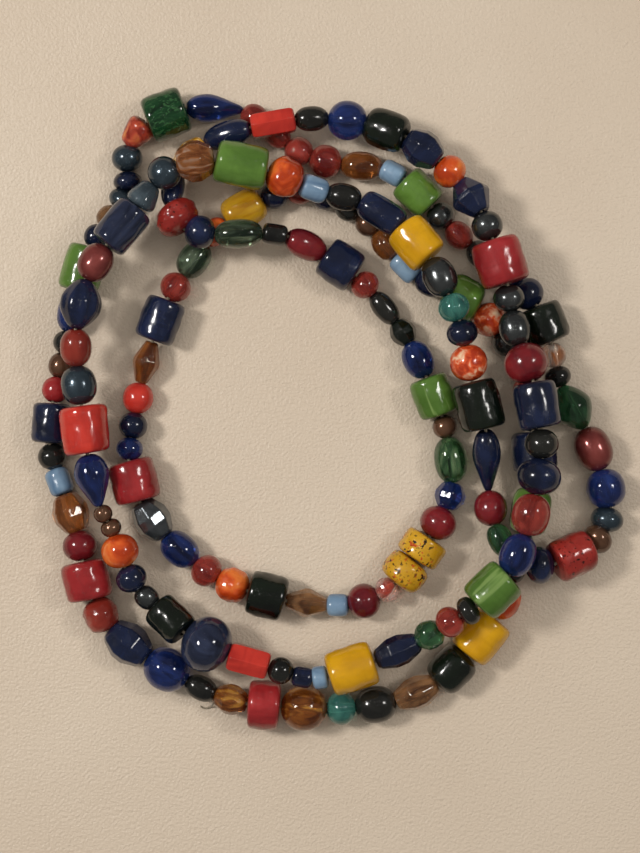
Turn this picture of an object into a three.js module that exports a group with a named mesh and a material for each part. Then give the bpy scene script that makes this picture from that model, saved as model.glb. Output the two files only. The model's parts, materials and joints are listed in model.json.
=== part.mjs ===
// A closed strand of mixed glass beads on one knotted thread, laid on a table in about four
// passes around an open middle. Millimetres, +Z up, the table is the plane z = 0.
import * as THREE from "three";

// Driving dimensions
const THREAD_RADIUS = 0.4;
const BORE_RADIUS = 0.8;
const NECK_RADIUS = 1.3; // glass around the thread where two beads of a run meet
const BEAD_GAP = 0.8; // bare thread at each end of a drum bead
const LOOP_GAP = 1.2; // bare thread at the two ends of the loose loop
const THREAD_SPLIT = 0.3; // between the main thread and the thread of the loose loop
const KNOT_LENGTH = 1.8;
const KNOT_RADIUS = 1.25;
const KNOT_CLEARANCE = 0.4; // bare thread on each side of the knot
const KNOT_BORE_RADIUS = 0.65;
const REST_CLEARANCE = 0.9; // kept between a bead and the beads that it lies on
const CLIMB = 0.55; // steepest rise of the thread where it climbs over another pass
const CREST_RADIUS = 18; // how gently the thread turns downhill past a crest
const SETTLING_SWEEPS = 8;
const STATIONS = 9; // places along a bead where its height over another bead is worked out
const NEAR_ON_THREAD = 3; // beads this close along the thread never lie on each other
const DRUM_SIDES = 10;
const RUN_SIDES = 8;
const THREAD_SIDES = 8;
const UP = new THREE.Vector3(0, 0, 1);

// Glass finishes: colour, roughness, metalness
const FINISHES = {
  jet: [0x111315, 0.12, 0],
  hematite: [0x3b4044, 0.2, 0.8],
  gunmetal: [0x1d2a3a, 0.15, 0.5],
  navy: [0x141c38, 0.15, 0],
  cobalt: [0x1d2f7a, 0.08, 0],
  sky: [0x7fa3c4, 0.25, 0],
  teal: [0x2c6a5e, 0.1, 0],
  bottle: [0x16261a, 0.12, 0],
  emerald: [0x2c5a38, 0.08, 0],
  pea: [0x5a8a30, 0.25, 0],
  amber: [0x7a4214, 0.08, 0],
  honey: [0xb27a12, 0.15, 0],
  brown: [0x4a2a1c, 0.15, 0.2],
  red: [0xb02a20, 0.25, 0],
  crimson: [0x6e1420, 0.15, 0],
  garnet: [0x5e1a1a, 0.1, 0],
  coral: [0xc24020, 0.2, 0],
  orange: [0xc84a14, 0.25, 0],
  yellow: [0xd8a010, 0.25, 0],
  clear: [0xd8c8b8, 0.05, 0],
};
const THREAD_LOOK = [0x8a8478, 0.8, 0];

// Bead outlines: [place along the bead from -0.5 to 0.5, share of the full radius]
const OUTLINES = {
  drum: [[-0.5, 0.86], [-0.42, 1], [0.42, 1], [0.5, 0.86]],
  barrel: [[-0.38, 0.96], [0.38, 0.96]],
  tube: [[-0.4, 0.96], [0.4, 0.96]],
  hex: [[-0.4, 0.98], [0.4, 0.98]],
  cone: [[-0.4, 0.62], [0.24, 1]],
  tear_in: [[-0.25, 0.96], [0.36, 0.62]],
  tear_out: [[-0.36, 0.62], [0.25, 0.96]],
  round: [[-0.2, 0.96], [0.2, 0.96]],
  oval: [[-0.22, 0.96], [0.22, 0.96]],
  nugget: [[-0.22, 0.94], [0.26, 0.96]],
  faceted: [[-0.22, 0.96], [0.22, 0.96]],
  disc: [[-0.2, 0.96], [0.2, 0.96]],
  fluted: [[-0.16, 0.98], [0.16, 0.98]],
  bicone: [[-0.14, 0.96], [0.14, 0.96]],
};

// The strand from the knot all the way round to the knot again, one row for each bead:
// [shape, finish, x, y, length, diameter, layer]. A bead lies on the table, or on any bead of
// a lower layer beneath it.
const STRAND = [
  // Outer pass, up the left side from the knot
  ["oval", "jet", -31, -68, 7.5, 6, 0],
  ["round", "cobalt", -39.5, -63.5, 10.5, 10.5, 0],
  ["faceted", "navy", -49, -57.5, 11, 10, 0],
  ["nugget", "coral", -56, -50.5, 8.5, 8.5, 0],
  ["drum", "red", -59, -42, 10.5, 11.5, 0],
  ["round", "crimson", -60, -33.5, 7.5, 8.5, 0],
  ["faceted", "amber", -62, -25.5, 10.5, 9, 0],
  ["tube", "sky", -65.5, -18.5, 6.5, 6, 0],
  ["round", "jet", -67.5, -12, 6, 7, 0],
  ["drum", "navy", -67.5, -4, 10.5, 9.5, 0],
  ["round", "red", -66.5, 4, 6, 6.5, 0],
  ["round", "brown", -65, 10, 6, 6, 0],
  ["round", "jet", -64, 15.5, 5.5, 6, 0],
  ["oval", "cobalt", -62.5, 22.5, 9, 7, 0],
  ["drum", "pea", -59.5, 33.5, 10.5, 10, 0],
  ["round", "navy", -57, 41.5, 5.5, 5.5, 0],
  ["oval", "brown", -53.5, 45.5, 5.5, 6, 0],
  ["round", "gunmetal", -49.5, 50, 5.5, 7, 0],
  ["round", "navy", -48, 54, 6, 7, 0],
  ["round", "gunmetal", -50, 60, 7, 7.5, 0],
  ["cone", "coral", -48, 66.5, 7.5, 7.5, 0],
  // Outer pass, across the top and down the right side
  ["drum", "bottle", -39, 71, 10.5, 11.5, 0],
  ["tear_in", "cobalt", -28, 73.5, 15, 7, 0],
  ["round", "garnet", -18, 71, 6.5, 6.5, 0],
  ["round", "garnet", -12.5, 65, 6, 6, 0],
  ["oval", "garnet", -7.5, 61.5, 7.5, 7, 0],
  ["oval", "garnet", -1.5, 58, 9, 8, 0],
  ["oval", "amber", 7.5, 59, 10.5, 7, 0],
  ["tube", "sky", 15.5, 57, 6, 5.5, 0],
  ["drum", "pea", 21.5, 51.5, 10, 9.5, 0],
  ["round", "hematite", 26.5, 46, 6, 7, 0],
  ["round", "garnet", 31, 41.5, 6.5, 6.5, 0],
  ["round", "jet", 36.5, 36.5, 6.5, 6.5, 0],
  ["round", "navy", 42.5, 32.5, 6.5, 6.5, 0],
  ["round", "navy", 48.5, 27.5, 6.5, 8, 0],
  ["drum", "bottle", 51.5, 19.5, 10, 11, 0],
  ["round", "clear", 54.5, 12.5, 6, 6.5, 0],
  ["round", "jet", 54, 7, 5, 6.5, 0],
  // The loose loop on the right
  ["bicone", "emerald", 59.5, 0, 11, 9.5, 0],
  ["oval", "garnet", 63.5, -10.5, 11, 9, 0],
  ["oval", "cobalt", 67.5, -19.5, 10, 9.5, 0],
  ["round", "gunmetal", 67.5, -27.5, 6.5, 8, 0],
  ["round", "brown", 65, -32.5, 6, 7.5, 0],
  ["drum", "red", 58, -36, 10.5, 10.5, 0],
  // Second pass, back up the inside of the right side
  ["round", "navy", 50, -39, 8, 9, 1],
  ["round", "jet", 44.5, -37.5, 5, 5, 1],
  ["oval", "emerald", 40, -32.5, 8, 6, 1],
  ["round", "crimson", 38, -24.5, 8, 8, 1],
  ["tear_out", "navy", 38, -12.5, 15, 7, 1],
  ["drum", "bottle", 36, 0, 12.5, 11, 1],
  ["round", "coral", 32, 10.5, 9, 9, 1],
  ["round", "navy", 32, 17.5, 7, 7.5, 1],
  ["round", "teal", 29, 23, 7, 7.5, 1],
  ["oval", "hematite", 26.5, 31, 10, 8, 1],
  ["drum", "yellow", 21, 39, 11, 10.5, 1],
  ["barrel", "navy", 13, 47, 12, 7.5, 1],
  // Second pass, across the top and down the left side
  ["oval", "jet", 3.5, 50.5, 8.5, 6.5, 1],
  ["tube", "sky", -4, 51, 6, 6, 1],
  ["nugget", "orange", -10.5, 55, 7.5, 9.5, 1],
  ["drum", "pea", -21, 57, 11.5, 10.5, 1],
  ["faceted", "amber", -32.5, 59, 9.5, 10, 1],
  ["round", "gunmetal", -39.5, 56, 8, 8, 1],
  ["cone", "hematite", -44, 50, 6.5, 7.5, 1],
  ["drum", "navy", -48.5, 42, 12, 9.5, 1],
  ["oval", "garnet", -56.5, 34.5, 9.5, 8, 1],
  ["fluted", "navy", -59.5, 24, 12.5, 10, 1],
  ["oval", "coral", -60.5, 14, 9, 7.5, 1],
  ["oval", "gunmetal", -60, 5, 9, 8.5, 1],
  ["drum", "red", -57.5, -5.5, 11.5, 11.5, 1],
  ["tear_in", "cobalt", -57.5, -18, 12.5, 8.5, 1],
  ["round", "brown", -54, -26, 4.5, 4.5, 1],
  ["round", "brown", -52, -28.5, 4.5, 5, 1],
  ["round", "orange", -50, -34.5, 8, 9, 1],
  ["round", "navy", -48, -41.5, 6.5, 7.5, 1],
  ["oval", "hematite", -44, -46, 6, 5.5, 1],
  // Third pass, along the bottom and up the right side
  ["drum", "bottle", -38, -50.5, 10, 9, 1],
  ["round", "navy", -30.5, -58.5, 12.5, 13.5, 1],
  ["hex", "red", -19, -60, 10.5, 7.5, 1],
  ["round", "jet", -12, -63, 6, 6.5, 1],
  ["tube", "navy", -6.5, -65, 5, 5, 1],
  ["tube", "sky", -2.5, -65, 4, 5.5, 1],
  ["drum", "yellow", 5.5, -62.5, 12, 11, 1],
  ["faceted", "navy", 16, -59, 11.5, 7.5, 1],
  ["nugget", "emerald", 24, -54.5, 6, 7, 1],
  ["round", "garnet", 28, -50.5, 6.5, 7.5, 1],
  ["disc", "jet", 32.5, -48.5, 4.5, 7, 2],
  ["drum", "pea", 39, -43.5, 11, 11, 2],
  ["oval", "cobalt", 45, -36, 10.5, 8.5, 2],
  ["oval", "garnet", 47, -25, 10, 9, 1],
  ["round", "navy", 49.5, -17, 9, 10.5, 1],
  ["round", "jet", 50, -9, 6.5, 8, 1],
  ["drum", "navy", 49, 0.5, 11, 10.5, 1],
  ["round", "crimson", 46.5, 10.5, 9.5, 10.5, 1],
  ["oval", "hematite", 43, 18, 9, 7.5, 1],
  ["round", "hematite", 42.5, 25.5, 6, 7.5, 1],
  ["drum", "red", 41, 34.5, 11.5, 12, 1],
  ["round", "hematite", 37, 42.5, 6.5, 7.5, 1],
  // Third pass, across the top and down to the middle
  ["bicone", "navy", 34.5, 50.5, 9.5, 9.5, 1],
  ["round", "orange", 28.5, 56, 7.5, 8, 1],
  ["faceted", "navy", 22.5, 61.5, 10, 9, 1],
  ["barrel", "bottle", 14, 66.5, 9.5, 9.5, 1],
  ["round", "cobalt", 4, 69, 9, 9.5, 1],
  ["oval", "jet", -4.5, 69, 8, 6, 1],
  ["hex", "red", -13.5, 67.5, 11, 6.5, 1],
  ["oval", "navy", -24, 65.5, 10.5, 6.5, 0],
  ["faceted", "honey", -34.5, 62, 8, 7.5, 0],
  ["round", "navy", -39, 51.5, 7, 5.5, 0],
  ["nugget", "red", -37.5, 43.5, 9, 10.5, 0],
  ["oval", "navy", -31.5, 40.5, 8.5, 8, 1],
  ["oval", "emerald", -22, 41, 11.5, 7, 1],
  ["tube", "jet", -13, 41.5, 6, 5, 1],
  // Inner pass, down the right, along the bottom and up the left
  ["oval", "crimson", -6, 39, 9, 7, 0],
  ["drum", "navy", 3.5, 34.5, 9.5, 10.5, 0],
  ["round", "garnet", 8.5, 29.5, 6.5, 7, 0],
  ["oval", "jet", 13, 24, 8.5, 5.5, 0],
  ["faceted", "bottle", 18, 18, 6, 6.5, 0],
  ["oval", "cobalt", 21.5, 11.5, 9, 7.5, 0],
  ["drum", "pea", 25, 2.5, 10, 10, 0],
  ["round", "brown", 28, -5, 5.5, 6, 0],
  ["oval", "emerald", 29.5, -12.5, 11.5, 8, 0],
  ["faceted", "cobalt", 30, -22, 7, 7.5, 0],
  ["round", "crimson", 26, -28, 8, 9, 0],
  ["drum", "yellow", 22.5, -34, 6.5, 11, 0],
  ["barrel", "yellow", 18, -40, 6.5, 11, 0],
  ["faceted", "clear", 14, -44.5, 5, 6.5, 0],
  ["round", "crimson", 8.5, -48, 8, 8.5, 0],
  ["tube", "sky", 2, -48, 5, 5.5, 0],
  ["bicone", "brown", -6, -48, 10, 7, 0],
  ["drum", "bottle", -15, -45.5, 9.5, 11, 0],
  ["nugget", "orange", -24, -43.5, 8, 8.5, 0],
  ["round", "garnet", -30, -40, 7.5, 8, 0],
  ["oval", "cobalt", -36, -34.5, 10, 8, 0],
  ["faceted", "hematite", -44, -28, 10.5, 9, 0],
  ["drum", "red", -47.5, -18, 11, 11.5, 0],
  ["round", "cobalt", -49, -10, 6, 6.5, 0],
  ["round", "navy", -47, -5, 6.5, 7, 0],
  ["round", "red", -47, 2, 7, 7.5, 0],
  ["bicone", "amber", -44, 11, 10, 6.5, 0],
  ["drum", "navy", -41.5, 21, 11.5, 10, 0],
  ["round", "garnet", -37.5, 29, 7, 7.5, 0],
  ["oval", "emerald", -33, 35, 9, 7.5, 0],
  ["round", "orange", -28, 43, 7, 6.5, 0],
  // Last pass, over to the right side and back along the bottom to the knot
  ["barrel", "honey", -21, 47.5, 10.5, 9, 0],
  ["round", "navy", -13.5, 51.5, 6.5, 6.5, 0],
  ["round", "garnet", -7.5, 52.5, 6, 6, 0],
  ["round", "navy", -1, 51, 6, 6, 0],
  ["round", "jet", 4.5, 48, 6, 6, 0],
  ["round", "brown", 9.5, 44.5, 6, 6, 0],
  ["nugget", "amber", 13.5, 39.5, 7, 6.5, 0],
  ["tube", "sky", 18, 33, 7, 5.5, 0],
  ["oval", "navy", 24, 29, 7.5, 6.5, 0],
  ["barrel", "pea", 33, 27.5, 9.5, 10.5, 0],
  ["nugget", "coral", 38.5, 21, 8, 8, 0],
  ["round", "jet", 42.5, 15.5, 6, 6, 0],
  ["round", "navy", 45.5, 10, 6, 6, 0],
  ["round", "garnet", 47.5, 3.5, 6, 6, 0],
  ["round", "jet", 48.5, -2.5, 6, 6, 0],
  ["drum", "navy", 49.5, -11, 9.5, 11, 0],
  ["oval", "jet", 49.5, -18, 4, 5, 0],
  ["barrel", "pea", 49, -25, 11, 9.5, 0],
  ["round", "navy", 46.5, -33.5, 5.5, 5.5, 0],
  ["round", "jet", 44.5, -39.5, 5.5, 5.5, 0],
  ["oval", "orange", 42.5, -47, 8.5, 8.5, 0],
  ["drum", "yellow", 36.5, -55.5, 10.5, 11, 0],
  ["barrel", "bottle", 29.5, -63.5, 9, 10, 0],
  ["faceted", "brown", 21.5, -70.5, 10.5, 8, 0],
  ["oval", "jet", 11, -72, 9.5, 9, 0],
  ["round", "teal", 2.5, -73, 7, 8, 0],
  ["round", "amber", -6, -73, 11, 11, 0],
  ["drum", "red", -16, -71.5, 8, 12, 0],
  ["faceted", "amber", -24, -71.5, 8, 7.5, 0],
];
const LOOP_FIRST = 38; // first and last bead of the loose loop, counted from 0
const LOOP_LAST = 43;

const beads = STRAND.map(([shape, finish, x, y, length, diameter, layer]) => ({
  shape,
  finish,
  place: new THREE.Vector2(x, y),
  length,
  radius: diameter / 2,
  layer,
}));
const COUNT = beads.length;
const KNOT_JOINT = COUNT - 1; // joint i lies between bead i and the bead after it

function before(index) {
  return (index + COUNT - 1) % COUNT;
}

function after(index) {
  return (index + 1) % COUNT;
}

function beadsApart(i, j) {
  const apart = Math.abs(i - j);
  return Math.min(apart, COUNT - apart);
}

// Joints divide the way between two bead centres in proportion to the beads' lengths.
const plan = beads.map((bead, i) => {
  const next = beads[after(i)];
  return bead.place.clone().lerp(next.place, bead.length / (bead.length + next.length));
});
const spans = beads.map((_, i) => plan[i].distanceTo(plan[before(i)]));
const middles = [];
spans.reduce((start, span) => {
  middles.push(start + span / 2);
  return start + span;
}, 0);
const perimeter = spans.reduce((sum, span) => sum + span, 0);

function fall(distance) {
  const bend = CLIMB * CREST_RADIUS;
  if (distance < bend) return distance ** 2 / (2 * CREST_RADIUS);
  return bend ** 2 / (2 * CREST_RADIUS) + CLIMB * (distance - bend);
}

// Height of the thread at each joint, when it is held up by every bead's own height.
function drape(heights) {
  return beads.map((_, joint) => {
    const here = middles[joint] + spans[joint] / 2;
    const supports = heights.map((height, i) => {
      const apart = Math.abs(here - middles[i]);
      const way = Math.min(apart, perimeter - apart) - spans[i] / 2;
      return height - fall(Math.max(0, way));
    });
    return Math.max(...supports);
  });
}

function radiusAt(bead, along) {
  const neck = NECK_RADIUS / bead.radius;
  const outline = [[-0.5, neck], ...OUTLINES[bead.shape], [0.5, neck]];
  const next = Math.max(1, outline.findIndex(([place]) => place >= along));
  const [[a, from], [b, to]] = [outline[next - 1], outline[next]];
  const share = b === a ? 1 : (along - a) / (b - a);
  return bead.radius * THREE.MathUtils.lerp(from, to, share);
}

// Lowest height at which bead i clears bead j, for a thread that has these joint heights.
function heightOver(i, j, joints) {
  const [a, b] = [plan[before(j)], plan[j]];
  const way = b.clone().sub(a);
  const [start, end] = [plan[before(i)], plan[i]];
  let height = 0;
  for (let station = 0; station < STATIONS; station++) {
    const along = (station + 0.5) / STATIONS - 0.5;
    const point = start.clone().lerp(end, along + 0.5);
    const share = THREE.MathUtils.clamp(point.clone().sub(a).dot(way) / way.lengthSq(), 0, 1);
    const apart = point.distanceTo(a.clone().addScaledVector(way, share));
    const reach = radiusAt(beads[i], along) + radiusAt(beads[j], share - 0.5) + REST_CLEARANCE;
    const under = THREE.MathUtils.lerp(joints[before(j)], joints[j], share);
    if (apart < reach) height = Math.max(height, under + Math.sqrt(reach ** 2 - apart ** 2));
  }
  return height;
}

// Joint heights with every bead on the table, or clear of the beads that it lies on
function settle() {
  const heights = beads.map((bead) => bead.radius);
  for (let sweep = 0; sweep < SETTLING_SWEEPS; sweep++) {
    const joints = drape(heights);
    beads.forEach((bead, i) => {
      beads.forEach((lower, j) => {
        if (lower.layer >= bead.layer || beadsApart(i, j) <= NEAR_ON_THREAD) return;
        heights[i] = Math.max(heights[i], heightOver(i, j, joints));
      });
    });
  }
  return drape(heights);
}

const jointHeights = settle();
const joints = plan.map((place, i) => new THREE.Vector3(place.x, place.y, jointHeights[i]));

function directionOf(index) {
  return joints[index].clone().sub(joints[before(index)]).normalize();
}

// A frame with Y along the thread and Z as near to upright as that allows
function frameOn(point, direction) {
  const side = new THREE.Vector3().crossVectors(direction, UP).normalize();
  const top = new THREE.Vector3().crossVectors(side, direction).normalize();
  return new THREE.Matrix4().makeBasis(side, direction, top).setPosition(point);
}

function frameAtJoint(joint) {
  const direction = directionOf(joint).add(directionOf(after(joint))).normalize();
  return frameOn(joints[joint], direction);
}

// A frame on bead `index`, at a distance from the joint before it
function frameOnBead(index, distance) {
  const direction = directionOf(index);
  return frameOn(joints[before(index)].clone().addScaledVector(direction, distance), direction);
}

function spanOf(index) {
  return joints[index].distanceTo(joints[before(index)]);
}

function halfGap(joint) {
  if (joint === KNOT_JOINT) return KNOT_LENGTH / 2 + KNOT_CLEARANCE;
  if (joint === before(LOOP_FIRST) || joint === LOOP_LAST) return LOOP_GAP / 2;
  return BEAD_GAP / 2;
}

// Turns a profile and bends it along the thread. Each ring is [radius, frame], and a flat of
// the turned shape faces down.
function turnAlong(rings, sides) {
  const outline = rings.map(([radius], i) => new THREE.Vector2(radius / Math.cos(Math.PI / sides), i));
  const geometry = new THREE.LatheGeometry(outline, sides, Math.PI / sides);
  const position = geometry.getAttribute("position");
  const vertex = new THREE.Vector3();
  for (let i = 0; i < position.count; i++) {
    const [, frame] = rings[i % rings.length];
    vertex.fromBufferAttribute(position, i).setY(0).applyMatrix4(frame);
    position.setXYZ(i, vertex.x, vertex.y, vertex.z);
  }
  geometry.computeVertexNormals();
  return geometry;
}

// Beads first to last, joined by short necks around the thread
function runGeometry(first, last) {
  const start = frameOnBead(first, halfGap(before(first)));
  const end = frameOnBead(last, spanOf(last) - halfGap(last));
  const outside = [[NECK_RADIUS, start]];
  const bore = [[BORE_RADIUS, start]];
  for (let i = first; i <= last; i++) {
    for (const [along, share] of OUTLINES[beads[i].shape]) {
      outside.push([share * beads[i].radius, frameOnBead(i, (along + 0.5) * spanOf(i))]);
    }
    if (i < last) {
      outside.push([NECK_RADIUS, frameAtJoint(i)]);
      bore.push([BORE_RADIUS, frameAtJoint(i)]);
    }
  }
  outside.push([NECK_RADIUS, end]);
  bore.push([BORE_RADIUS, end]);
  return turnAlong([...outside, ...bore.reverse(), outside[0]], RUN_SIDES);
}

function drumGeometry(index) {
  const from = halfGap(before(index));
  const length = spanOf(index) - from - halfGap(index);
  const outside = OUTLINES.drum.map(([along, share]) => [
    share * beads[index].radius,
    frameOnBead(index, from + (along + 0.5) * length),
  ]);
  const bore = [
    [BORE_RADIUS, frameOnBead(index, from + length)],
    [BORE_RADIUS, frameOnBead(index, from)],
  ];
  return turnAlong([...outside, ...bore, outside[0]], DRUM_SIDES);
}

// Thread from just after one joint to just before another
function threadGeometry(from, to) {
  const start = frameOnBead(after(from), THREAD_SPLIT / 2);
  const end = frameOnBead(to, spanOf(to) - THREAD_SPLIT / 2);
  const rings = [[0, start], [THREAD_RADIUS, start]];
  for (let joint = after(from); joint !== to; joint = after(joint)) {
    rings.push([THREAD_RADIUS, frameAtJoint(joint)]);
  }
  rings.push([THREAD_RADIUS, end], [0, end]);
  return turnAlong(rings, THREAD_SIDES);
}

function knotGeometry() {
  const start = frameOnBead(KNOT_JOINT, spanOf(KNOT_JOINT) - KNOT_LENGTH / 2);
  const middle = frameAtJoint(KNOT_JOINT);
  const end = frameOnBead(after(KNOT_JOINT), KNOT_LENGTH / 2);
  const rings = [
    [0.8 * KNOT_RADIUS, start],
    [KNOT_RADIUS, middle],
    [0.8 * KNOT_RADIUS, end],
    [KNOT_BORE_RADIUS, end],
    [KNOT_BORE_RADIUS, middle],
    [KNOT_BORE_RADIUS, start],
    [0.8 * KNOT_RADIUS, start],
  ];
  return turnAlong(rings, THREAD_SIDES);
}

const strand = new THREE.Group();

function addPiece(name, geometry, [color, roughness, metalness]) {
  const mesh = new THREE.Mesh(geometry, new THREE.MeshStandardMaterial({ color, roughness, metalness }));
  mesh.name = name;
  strand.add(mesh);
  return mesh;
}

function numbered(name, number) {
  return `${name}_${String(number).padStart(2, "0")}`;
}

function addDrum(index, number) {
  const { finish } = beads[index];
  const mesh = addPiece(numbered(`drum_${finish}`, number), drumGeometry(index), FINISHES[finish]);
  mesh.userData.beads = [index, index];
  // The hinge that the drum turns on, along its own stretch of thread
  mesh.userData.centre = joints[index].clone().add(joints[before(index)]).multiplyScalar(0.5);
  mesh.userData.axis = directionOf(index);
}

function addRun(first, last, number) {
  const middle = beads[Math.floor((first + last) / 2)];
  const mesh = addPiece(numbered("bead_run", number), runGeometry(first, last), FINISHES[middle.finish]);
  mesh.userData.beads = [first, last];
}

// A run ends at a drum bead, at the knot and at each end of the loose loop.
function addBeads() {
  let drums = 0;
  let runs = 0;
  let first = 0;
  beads.forEach((bead, i) => {
    if (bead.shape === "drum") {
      addDrum(i, ++drums);
      first = i + 1;
      return;
    }
    const next = beads[after(i)];
    if (next.shape === "drum" || i === KNOT_JOINT || i === before(LOOP_FIRST)) {
      addRun(first, i, ++runs);
      first = i + 1;
    }
  });
}

addBeads();
addPiece("thread", threadGeometry(LOOP_LAST, before(LOOP_FIRST)), THREAD_LOOK);
addPiece("thread_loop", threadGeometry(before(LOOP_FIRST), LOOP_LAST), THREAD_LOOK);
addPiece("knot", knotGeometry(), THREAD_LOOK);

// The origin is under the middle of the strand, on the table.
const box = new THREE.Box3().setFromObject(strand, true);
strand.position.set(-(box.min.x + box.max.x) / 2, -(box.min.y + box.max.y) / 2, -box.min.z);
// The hinge that the loose loop is lifted on passes through both its ends.
strand.userData.loopEnds = [joints[before(LOOP_FIRST)], joints[LOOP_LAST]];

export default strand;
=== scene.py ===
"""A closed strand of mixed glass beads on one thread, laid on a table in about four passes."""
import json
import math
import random

import bpy
from mathutils import Matrix, Vector, noise

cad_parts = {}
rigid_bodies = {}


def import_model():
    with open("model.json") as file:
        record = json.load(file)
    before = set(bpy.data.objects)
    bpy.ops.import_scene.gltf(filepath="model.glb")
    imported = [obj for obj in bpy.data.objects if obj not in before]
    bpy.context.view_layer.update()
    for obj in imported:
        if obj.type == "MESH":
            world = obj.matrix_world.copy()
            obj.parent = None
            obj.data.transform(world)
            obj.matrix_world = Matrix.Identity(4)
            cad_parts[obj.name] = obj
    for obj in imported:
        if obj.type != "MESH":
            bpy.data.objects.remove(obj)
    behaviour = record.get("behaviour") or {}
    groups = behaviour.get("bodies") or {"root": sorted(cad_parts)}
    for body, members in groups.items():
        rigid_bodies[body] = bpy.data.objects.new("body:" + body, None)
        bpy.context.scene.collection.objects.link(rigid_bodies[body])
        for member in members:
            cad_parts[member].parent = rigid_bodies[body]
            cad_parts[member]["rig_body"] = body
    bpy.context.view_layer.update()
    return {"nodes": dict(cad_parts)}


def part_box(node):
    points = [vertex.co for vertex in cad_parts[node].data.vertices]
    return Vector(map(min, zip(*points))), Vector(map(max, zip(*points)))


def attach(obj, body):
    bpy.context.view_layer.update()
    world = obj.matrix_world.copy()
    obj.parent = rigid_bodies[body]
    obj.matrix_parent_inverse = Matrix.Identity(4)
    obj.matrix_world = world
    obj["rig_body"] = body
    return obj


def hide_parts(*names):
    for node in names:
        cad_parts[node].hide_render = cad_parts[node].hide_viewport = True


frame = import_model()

# Sizes in metres, the same as in the CAD model
THREAD_RADIUS = 0.0004
NECK_RADIUS = 0.0013  # where one bead meets the next
REST_CLEARANCE = 0.0009  # air between two passes that cross
CREST_RADIUS = 0.018  # how sharply the strand bends over a bead under it
CLIMB = 0.55  # steepest slope of the strand

# How the passes are laid on each other, also as in the CAD model
SETTLING_SWEEPS = 8
STATIONS = 9  # places along a bead that are tested against the beads below
NEAR_ON_THREAD = 3  # beads this near on the thread never lie on each other
LOOP_FIRST = 38  # the beads of the loose loop, by their place in the strand
LOOP_LAST = 43

# Sizes in metres that only the looks need
HOLE_RADIUS = 0.00075
LIP_RADIUS = 0.0011
BEAD_SLACK = 0.00004  # bare thread at each end of a bead
DRUM_SLACK = 0.00032

# How finely the smooth beads are made
SEGMENTS = 48
RINGS = 34
OUTLINE_STEPS = 240

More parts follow.
